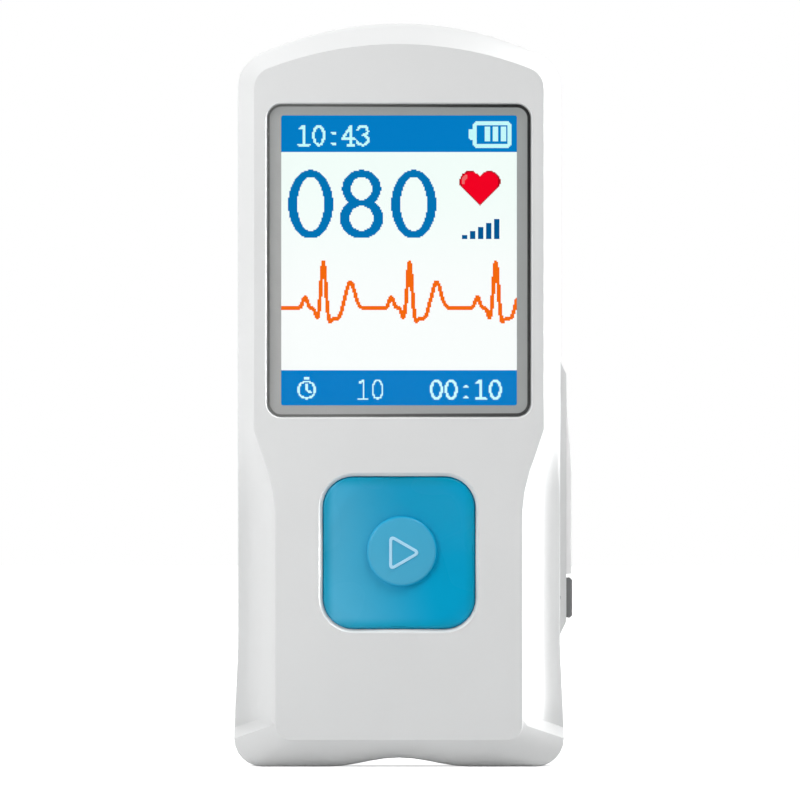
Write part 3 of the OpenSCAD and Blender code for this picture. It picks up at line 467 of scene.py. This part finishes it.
# Strokes of each figure in a box one wide and one tall
FIGURES = {
    "0": [oval(0.5, 0.5, 0.42, 0.5)],
    "1": [[(0.18, 0.14), (0.52, 0.0), (0.52, 1.0)], [(0.12, 1.0), (0.92, 1.0)]],
    "3": [oval(0.45, 0.25, 0.4, 0.25, -165, 80), oval(0.43, 0.74, 0.47, 0.26, -80, 165)],
    "4": [[(0.98, 0.68), (0.02, 0.68), (0.7, 0.0), (0.7, 1.0)], [(0.45, 1.0), (0.95, 1.0)]],
    ":": [[(0.4, 0.36), (0.6, 0.36)], [(0.4, 0.94), (0.6, 0.94)]],
}


def write_figures(colour, figures, left, top, pitch, height, width):
    for i, figure in enumerate(figures):
        for line in FIGURES[figure]:
            stroke(colour, [(left + pitch * i + pitch * 0.82 * x, top + height * y) for x, y in line], width)


def in_oval(c, r, x, y, half_w, half_h):
    return ((c - x) / half_w) ** 2 + ((r - y) / half_h) ** 2 <= 1


def big_zero(x):
    def test(c, r):
        return in_oval(c, r, x, 67.9, 16.8, 25.6) and not in_oval(c, r, x, 67.9, 9.9, 20.2)
    paint("figure blue", test, (x - 18, x + 18), (40, 95))


def big_eight(x):
    def test(c, r):
        outer = in_oval(c, r, x, 56.2, 14.6, 13.9) or in_oval(c, r, x, 78.5, 16.2, 15.0)
        return outer and not in_oval(c, r, x, 56.2, 7.8, 8.5) and not in_oval(c, r, x, 78.5, 8.8, 9.2)
    paint("figure blue", test, (x - 18, x + 18), (40, 95))


def inside(points):
    """A test for dots inside a closed outline."""
    def test(c, r):
        within = False
        for (x0, y0), (x1, y1) in zip(points, points[1:] + points[:1]):
            if (y0 > r) != (y1 > r) and c < x0 + (r - y0) / (y1 - y0) * (x1 - x0):
                within = not within
        return within
    return test


def draw_heart(x, top):
    """A heart of two flat-topped lobes and a point, with a dark lower edge and a light on one lobe."""
    half = [(0, 3.4), (4.2, 0), (10, 0), (13.4, 2.2), (15.3, 6.2), (15.2, 9.6), (13.4, 12.4), (0, 25.4)]
    outline = [(x + a, top + b) for a, b in half] + [(x - a, top + b) for a, b in half[-2:0:-1]]
    block = (x - 17, x + 17), (top - 1, top + 27)
    paint("heart shade", inside(outline), *block)
    inner = [(x + (a - x) * 0.92, top + 8 + (b - top - 8) * 0.93) for a, b in outline]
    paint("heart red", inside(inner), *block)
    light = [(-13.6, 9), (-13.6, 5.6), (-11.4, 2.6), (-9.4, 2.2), (-9.8, 5), (-11.2, 7.4), (-11.4, 10)]
    paint("heart light", inside([(x + a, top + b) for a, b in light]), *block)


def draw_battery(left, right, top, bottom, bars):
    """A battery lying down: its case, the contact on its left and the bars of charge."""
    stroke("pale", [(left + 1.5, top + 1), (right - 1.5, top + 1), (right, top + 2.5), (right, bottom - 2.5),
                    (right - 1.5, bottom - 1), (left + 1.5, bottom - 1), (left, bottom - 2.5),
                    (left, top + 2.5), (left + 1.5, top + 1)], 2.9)
    middle = (top + bottom) / 2
    stroke("pale", [(left - 2.6, middle - 2.6), (left - 2.6, middle + 2.6)], 3.4)
    for i in range(bars):
        x = right - 3 - 5.7 * i
        paint("pale", inside([(x, top + 3.9), (x, bottom - 3.8), (x - 4, bottom - 3.8), (x - 4, top + 3.9)]),
              (x - 6, x + 2), (top, bottom))


def beat(t):
    """Height of the heart trace in dots, t dots after the peak of a beat."""
    def bump(at, height, width):
        return height * math.exp(-((t - at) / width) ** 2)
    return (bump(-13.7, 8.0, 2.3) + bump(0, 34, 2.2) + bump(20.2, 19.5, 4.4)
            - bump(-4.6, 7.5, 1.8) - bump(4.4, 4.0, 1.6) - 8.0 * math.exp(-((t - 8.5) / 5.5) ** 4))


def draw_trace(row, first_peak, spacing):
    points = []
    for i in range(COLUMNS * 4 + 1):
        c = i / 4
        t = (c - first_peak + spacing * 0.42) % spacing - spacing * 0.42
        points.append((c, row - beat(t)))
    stroke("trace orange", points, 2.9)


def draw_picture():
    v = TOP_HIDDEN
    whole = (0, COLUMNS)
    paint("bar blue", lambda c, r: r < v + 27, whole, (0, 40))
    paint("bar blue", lambda c, r: r > v + 189.5, whole, (180, ROWS))
    write_figures("pale", "10:43", 12.4, v + 7.6, 11.1, 14, 2.0)
    draw_battery(144.6, 170.6, v + 4.6, v + 23.2, 3)
    big_zero(22)
    big_eight(60)
    big_zero(99)
    draw_heart(148.4, v + 41.5)
    for i in range(5):
        paint("deep blue", lambda c, r: True, (135 + 6 * i, 138 + 6 * i), (v + 89 - 3 * i, v + 91))
    draw_trace(v + 143.5, 31.5, 64.4)
    stroke("pale", oval(19, v + 204.6, 6.2, 6.2), 1.6)
    stroke("pale", [(19, v + 200.5), (19, v + 204.6), (22, v + 206.6)], 1.5)
    stroke("pale", [(17.4, v + 196), (20.6, v + 196)], 1.6)
    write_figures("pale", "10", 56.6, v + 197.6, 10.9, 13.6, 1.4)
    write_figures("pale", "00:10", 111.4, v + 197.6, 11.0, 13.6, 2.0)


PICTURE_COLOURS = {
    "white": rgb(252, 255, 254), "bar blue": rgb(0, 124, 200), "figure blue": rgb(0, 115, 182),
    "pale": rgb(205, 250, 255), "deep blue": rgb(0, 86, 146), "heart red": rgb(250, 0, 34),
    "heart light": rgb(246, 104, 108), "heart shade": rgb(176, 0, 26), "trace orange": rgb(246, 104, 12)}


def picture_layer():
    """The lit layer of the panel: one face for each picture dot."""
    bpy.ops.object.select_all(action="DESELECT")
    bpy.ops.mesh.primitive_grid_add(x_subdivisions=COLUMNS, y_subdivisions=ROWS, size=1,
                                    location=(0, glass_low[1] - 0.05 * MM, window_z),
                                    rotation=(math.pi / 2, 0, 0), scale=(1, 1, 1))
    piece = bpy.context.object
    piece.name = "picture_layer"
    piece.scale = (PICTURE_W, PICTURE_H, 1)
    bpy.ops.object.transform_apply(location=True, rotation=True, scale=True)
    draw_picture()
    names = list(PICTURE_COLOURS)
    for name in names:
        piece.data.materials.append(lit_colour("panel " + name, PICTURE_COLOURS[name]))
    for face in piece.data.polygons:
        c = int((face.center.x / PICTURE_W + 0.5) * COLUMNS)
        r = int((0.5 - (face.center.z - window_z) / PICTURE_H) * ROWS)
        face.material_index = names.index(picture.get((c, r), "white"))
    edit(piece, "EDGE")
    mesh = bmesh.from_edit_mesh(piece.data)
    for edge in mesh.edges:
        edge.select_set(edge.is_boundary)
    bmesh.update_edit_mesh(piece.data)
    bpy.ops.mesh.extrude_edges_move(TRANSFORM_OT_translate={"value": (0, 0.04 * MM, 0)})
    bpy.ops.mesh.edge_face_add()
    done(piece)
    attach(piece, "case")
    return piece


# ------------------------------------------------------------------ pieces


def window_piece():
    """The clear window, a hair in front of the printed border, with a polished edge."""
    back = mask_low[1] - HAIR
    piece = box("window", lens_low, (lens_high[0], back, lens_high[2]))
    rounded_corners(piece, WINDOW_CORNER, 10)
    soft_rim(piece, lens_low[1], 0.15 * MM, 3)
    return smooth(piece, 40)


def open_edge():
    """Selects the open edge of a sheet."""
    bpy.ops.mesh.select_all(action="DESELECT")
    bpy.ops.mesh.select_non_manifold(extend=False, use_wire=False, use_boundary=True, use_multi_face=False,
                                     use_non_contiguous=False, use_verts=False)


def draw_loop(scale, y, middle=(0, 0)):
    """Extrudes the selected loop and scales it into the plane y, about the key's middle or a point off it."""
    bpy.ops.mesh.extrude_edges_move(TRANSFORM_OT_translate={"value": (0, 0, 0)})
    bpy.ops.transform.resize(value=(scale, 0, scale), center_override=(middle[0], y, key_z + middle[1]))


def key_piece():
    """The key: a square cap with round corners, a dish with a round button in it, a ledge and a lip."""
    top = cap_low[1]
    button_top, ledge, lip = top + 0.25 * MM, top + 0.5 * MM, cap_high[1] - 0.6 * MM
    rings, narrower, rounder = 24, 0.965, 0.15
    ledge_wider, lip_wider, button_narrower = 1.0134, 1.0625, 0.985  # each against the loop before it
    near_middle, blend = 1 * MM, 4 * MM
    bpy.ops.object.select_all(action="DESELECT")
    bpy.ops.mesh.primitive_plane_add(size=KEY_SIDE, location=(0, top, key_z), rotation=(math.pi / 2, 0, 0))
    piece = bpy.context.object
    piece.name = "key"
    bpy.ops.object.transform_apply(location=True, rotation=True, scale=True)
    edit(piece, "VERT")
    bpy.ops.mesh.select_all(action="SELECT")
    bpy.ops.mesh.bevel(offset=KEY_CORNER, segments=20, affect="VERTICES")
    bpy.ops.mesh.select_mode(type="EDGE")
    bpy.ops.mesh.select_all(action="DESELECT")
    pick(piece, edges=lambda at, way: min(abs(at.x), abs(at.z - key_z)) < 0.1 * MM)
    bpy.ops.mesh.subdivide(number_cuts=27)
    bpy.ops.mesh.select_all(action="SELECT")
    bpy.ops.mesh.delete(type="ONLY_FACE")
    # rings drawn in from the rim, each rounder than the last, down to the circle of the button
    bpy.ops.mesh.select_all(action="SELECT")
    for ring in range(rings):
        draw_loop(narrower, top)
        bpy.ops.transform.tosphere(value=rounder if ring < rings - 1 else 1, center_override=(0, top, key_z))
    mesh = bmesh.from_edit_mesh(piece.data)
    shrink = BUTTON_R / max(math.hypot(v.co.x, v.co.z - key_z) for v in mesh.verts if v.select)
    bpy.ops.transform.resize(value=(shrink, 1, shrink), center_override=(0, top, key_z))
    bpy.ops.mesh.extrude_edges_move(TRANSFORM_OT_translate={"value": (0, 0, 0)})
    bpy.ops.mesh.merge(type="CENTER")
    # the dish
    bpy.ops.mesh.select_mode(type="VERT")
    bpy.ops.mesh.select_all(action="DESELECT")
    pick(piece, points=lambda at: math.hypot(at.x, at.z - key_z) < near_middle)
    bpy.ops.transform.translate(value=(0, DISH_DEPTH, 0), use_proportional_edit=True,
                                proportional_edit_falloff="INVERSE_SQUARE", proportional_size=DISH_REACH)
    bpy.ops.mesh.select_mode(type="EDGE")
    bpy.ops.mesh.select_all(action="DESELECT")
    pick(piece, edges=lambda at, way: math.hypot(at.x, at.z - key_z) > DISH_REACH - 0.5 * MM)
    bpy.ops.mesh.vertices_smooth(factor=0.5, repeat=4, xaxis=False, zaxis=False)
    # wall and soft rim, then the ledge and the lip behind them
    open_edge()
    draw_loop(1, ledge)
    bpy.ops.mesh.select_all(action="DESELECT")
    bpy.ops.mesh.edges_select_sharp(sharpness=math.radians(60))
    bpy.ops.mesh.bevel(offset=KEY_RIM, segments=5, affect="EDGES")
    open_edge()
    for scale, y in ((ledge_wider, ledge + 0.02 * MM), (1, lip), (lip_wider, lip), (1, cap_high[1])):
        draw_loop(scale, y)
    bpy.ops.mesh.edge_face_add()
    # the button
    bpy.ops.mesh.select_all(action="DESELECT")
    bpy.ops.mesh.select_mode(type="VERT")
    pick(piece, points=lambda at: math.hypot(at.x, at.z - key_z) < near_middle)
    bpy.ops.mesh.delete(type="VERT")
    bpy.ops.mesh.select_mode(type="EDGE")
    open_edge()
    bpy.ops.transform.translate(value=(BUTTON_X, 0, BUTTON_Z), use_proportional_edit=True,
                                proportional_edit_falloff="LINEAR", proportional_size=blend,
                                use_proportional_connected=True)
    draw_loop(button_narrower, button_top, (BUTTON_X, BUTTON_Z))
    bpy.ops.mesh.edge_face_add()
    bpy.ops.mesh.region_to_loop()
    bpy.ops.mesh.bevel(offset=BUTTON_EDGE, segments=8, affect="EDGES")
    bpy.ops.mesh.select_all(action="SELECT")
    bpy.ops.mesh.normals_make_consistent(inside=False)
    done(piece)
    return smooth(piece, 50)


def rounded_triangle(name, reach, corner, low_y, high_y):
    """A flat triangle that points right. Before they are rounded, its corners lie at reach from its middle."""
    bpy.ops.object.select_all(action="DESELECT")
    bpy.ops.mesh.primitive_circle_add(vertices=3, radius=reach, fill_type="NGON",
                                      location=(MARK_X, high_y, key_z),
                                      rotation=(math.pi / 2, math.pi / 2, 0))
    piece = bpy.context.object
    piece.name = name
    bpy.ops.object.transform_apply(location=True, rotation=True, scale=True)
    edit(piece)
    bpy.ops.mesh.select_all(action="SELECT")
    bpy.ops.mesh.extrude_region_move(TRANSFORM_OT_translate={"value": (0, low_y - high_y, 0)})
    bpy.ops.mesh.select_all(action="SELECT")
    bpy.ops.mesh.normals_make_consistent(inside=False)
    done(piece)
    rounded_corners(piece, corner, 9)
    return piece


def mark_piece():
    """The triangle mark: a fine raised line along a triangle with round corners, lying on the button."""
    front, back = mark_low[1], mark_high[1] + HAIR
    inner_reach, past = MARK_REACH - 2 * MARK_LINE, 1 * MM
    piece = rounded_triangle("mark", MARK_REACH, MARK_CORNER, front, back)
    inner = rounded_triangle("mark_inner", inner_reach, MARK_INNER_CORNER, front - past, back + past)
    modify(piece, "BOOLEAN", object=inner, operation="DIFFERENCE", solver="EXACT")
    bpy.data.objects.remove(inner)
    edit(piece)
    pick(piece, faces=lambda at, out: out.y < -0.99)
    bpy.ops.mesh.region_to_loop()
    bpy.ops.mesh.bevel(offset=0.045 * MM, segments=3, affect="EDGES")
    done(piece)
    return smooth(piece, 50)


# ------------------------------------------------------------------ finishes

case_white = rgb(229, 230, 230)
abs_shell = moulded("satin white case plastic", case_white, 0.4)
abs_back = moulded("satin white back plastic", shade(case_white, 0.99), 0.44)
clear = clear_window("hard-coated clear acrylic")
# grey ink with painted shade and painted shadow of the window's pocket on it
ink = window_ink_and_painted_shade("grey window ink and painted shade", window_z, (lens_high[0] - lens_low[0]) / 2,
                 (lens_high[2] - lens_low[2]) / 2, WINDOW_CORNER)
blue = key_acrylic("blue key acrylic", key_z)
pale_mark = moulded("pale blue mark", rgb(178, 228, 255), 0.35, 9000, 0.000002)
dark_grey = moulded("dark grey satin plastic", rgb(126, 127, 128), 0.45, 4200, 0.000015)
black = moulded("black moulded plastic", rgb(34, 34, 36), 0.5, 4200, 0.000015)
cream = moulded("cream nylon", rgb(232, 226, 204), 0.5, 3800, 0.00001)
chip_black = moulded("chip mould compound", rgb(30, 30, 32), 0.6, 8200, 0.00001, 0.0, 0.06)
contact = metal("brushed contact steel", rgb(206, 208, 212), 0.3, "x", 2600, 0.000006, 0.11)
side_metal = metal("satin side plate steel", rgb(255, 255, 255), 0.5, "z", 3200, 0.000004, 0.03, 0.1)
plated = metal("plated screw steel", rgb(186, 188, 192), 0.3, "all", 5200)
sheet = metal("bright sheet steel", rgb(196, 198, 202), 0.26, "z", 7000)
gold = metal("gold-plated bronze", rgb(232, 190, 108), 0.24, "all", 6000)
brass = metal("turned brass", rgb(214, 180, 104), 0.3, "y", 9000)
foil = metal("cell pouch foil", rgb(190, 192, 198), 0.38, "all", 1400, 0.00004, 0.08)
foam = soft_foam("black foam", rgb(34, 34, 36))
board = circuit_board("solder-masked board")
ceramic = moulded("chip part ceramic", rgb(176, 142, 104), 0.4, 6000, 0.000006, 0.0, 0.12)
red_sleeve = moulded("red wire sleeve", rgb(186, 32, 34), 0.5, 2600)
black_sleeve = moulded("black wire sleeve", rgb(30, 30, 31), 0.5, 2600)
panel_glass = moulded("panel glass border", rgb(26, 28, 32), 0.12, 2600, 0.000001, 1.0)
diffuser = moulded("white light guide", rgb(236, 239, 242), 0.3, 2600)
amber = moulded("amber film", rgb(206, 138, 54), 0.3, 2600, 0.000004, 0.4)
tape = moulded("double-sided tape", rgb(222, 214, 178), 0.55, 1800)

BY_SLOT = {
    "case_plastic": abs_shell, "window": clear, "mask": ink, "black_foam": foam, "display": panel_glass,
    "diffuser": diffuser, "sheet_steel": sheet, "clear_tape": tape, "flex_film": amber,
    "cream_plastic": cream, "key_blue": blue, "key_mark": pale_mark, "black_plastic": black,
    "grey_plastic": dark_grey, "steel": plated, "contact_steel": contact, "gold_bronze": gold,
    "brass": brass, "board_green": board, "chip_ceramic": ceramic, "cell_foil": foil,
    "red_wire": red_sleeve, "black_wire": black_sleeve}
CHIPS = ("processor", "memory_chip", "amplifier_chip")

for part in frame["record"]["subparts"]:
    material = chip_black if part["node"] in CHIPS else BY_SLOT[part["material_slot"]]
    solid = nodes[part["node"]]
    for k in range(max(1, len(solid.material_slots))):
        if k < len(solid.material_slots):
            solid.material_slots[k].material = material
        else:
            solid.data.materials.append(material)

# ------------------------------------------------------------------ the object's pieces

dress(finished_copy("front_shell", "front_housing"), abs_shell, "case", "front_housing")
dress(finished_copy("back_shell", "back_housing"), abs_back, "case", "back_housing")
dress(window_piece(), clear, "case", "screen_lens")
picture_layer()
dress(key_piece(), blue, "key", "key_cap")
dress(mark_piece(), pale_mark, "key", "key_mark")
dress(finished_copy("rocker", "rocker_key", 0.12 * MM, 3), dark_grey, "rocker", "rocker_key")
dress(finished_copy("side_plate", "side_electrode", 0.15 * MM, 3), side_metal, "case", "side_electrode")
dress(finished_copy("upper_plate", "upper_electrode", 0.06 * MM, 2), contact, "case", "upper_electrode")
dress(finished_copy("lower_plate", "lower_electrode", 0.06 * MM, 2), contact, "case", "lower_electrode")
dress(finished_copy("back_screws", "case_screws", 0.06 * MM, 2), plated, "case", "case_screws")
dress(finished_copy("socket_shell", "usb_shell", 0.04 * MM, 2), sheet, "case", "usb_shell")

# ------------------------------------------------------------------ stage, light and camera


def stage_floor():
    """The pale floor: it glows to the camera, and is plain and duller to all other rays."""
    plain = 0.77
    bpy.ops.object.select_all(action="DESELECT")
    bpy.ops.mesh.primitive_plane_add(size=6, location=(0, 0, 0))
    floor = bpy.context.object
    floor.name = "floor"
    material, tree = new_finish("pale floor")
    place, *_ = place_on(tree)
    soft = noise(tree, place, 8, 2.0)
    surface = tree.make("BsdfDiffuse", None, {"Color": soft.mix((0.8, 0.8, 0.8, 1), (0.82, 0.82, 0.82, 1))})
    away = place.length().step(0.06, 0.5)
    glow = tree.make("Emission", None, {"Color": (1, 1, 1, 1), "Strength": 0.55 + 0.5 * away})
    seen = tree.make("AddShader", None, {0: surface, 1: glow})
    dull = tree.make("BsdfDiffuse", None, {"Color": (plain, plain, plain, 1)})
    ray = tree.make("LightPath", output=0)
    tree.make("OutputMaterial", None, {"Surface": tree.make("MixShader", None, {0: ray, 1: dull, 2: seen})})
    floor.data.materials.append(material)


def area_light(name, at, aim, size, power, spread=180):
    """A lamp at one place aimed at another, in metres, watts and degrees."""
    bpy.ops.object.light_add(type="AREA", location=at)
    light = bpy.context.object
    light.name = name
    light.data.shape = "RECTANGLE"
    light.data.size, light.data.size_y = size
    light.data.energy = power
    light.data.spread = math.radians(spread)
    light.visible_camera = False
    light.rotation_euler = (Vector(aim) - Vector(at)).to_track_quat("-Z", "Y").to_euler()


def studio():
    """A white room that is dimmer in front and at the right, and three lamps."""
    stage_floor()
    world = bpy.data.worlds.new("studio")
    bpy.context.scene.world = world
    world.use_nodes = True
    world.node_tree.nodes.clear()
    tree = Socket(world.node_tree)
    way = tree.make("TexCoord", output=0)
    x, y = (tree.make("SeparateXYZ", None, {0: way}, k) for k in range(2))
    front = (0 - y).step(-0.3, 0.2) * 0.4 + (0 - y).step(0.25, 0.85) * 0.35
    light = 0.85 - front - 0.22 * x.step(0.35, 0.95)
    ray = tree.make("LightPath", output=0)
    strength = ray * 1.0 + (1 - ray) * light
    tree.make("OutputWorld", None, {"Surface": tree.make("Background", None, {
        "Color": (1, 1, 1, 1), "Strength": strength})})
    area_light("right_strip", (0.2, -0.0075, 0.053), (0, -0.0055, 0.051), (0.006, 0.09), 0.0027, 3)
    area_light("top_light", (0.5, -0.28, 1.05), (0, 0, 0.05), (0.5, 0.5), 7.75)
    area_light("left_fill", (-0.2, -0.14, 0.16), (0, 0, 0.05), (0.1, 0.16), 0.31)


studio()
DISTANCE, CAMERA_X, CAMERA_Z = 2.5, 0.13 * MM, 49.33 * MM
FRAME_SIDE = 107.84 * MM  # what the picture takes in at the object
SENSOR = 36
bpy.ops.object.camera_add(location=(CAMERA_X, -DISTANCE, CAMERA_Z), rotation=(math.pi / 2, 0, 0))
camera = bpy.context.object
camera.data.sensor_width = SENSOR
camera.data.lens = SENSOR * DISTANCE / FRAME_SIDE
bpy.context.scene.camera = camera
bpy.context.scene.view_settings.view_transform = "Standard"
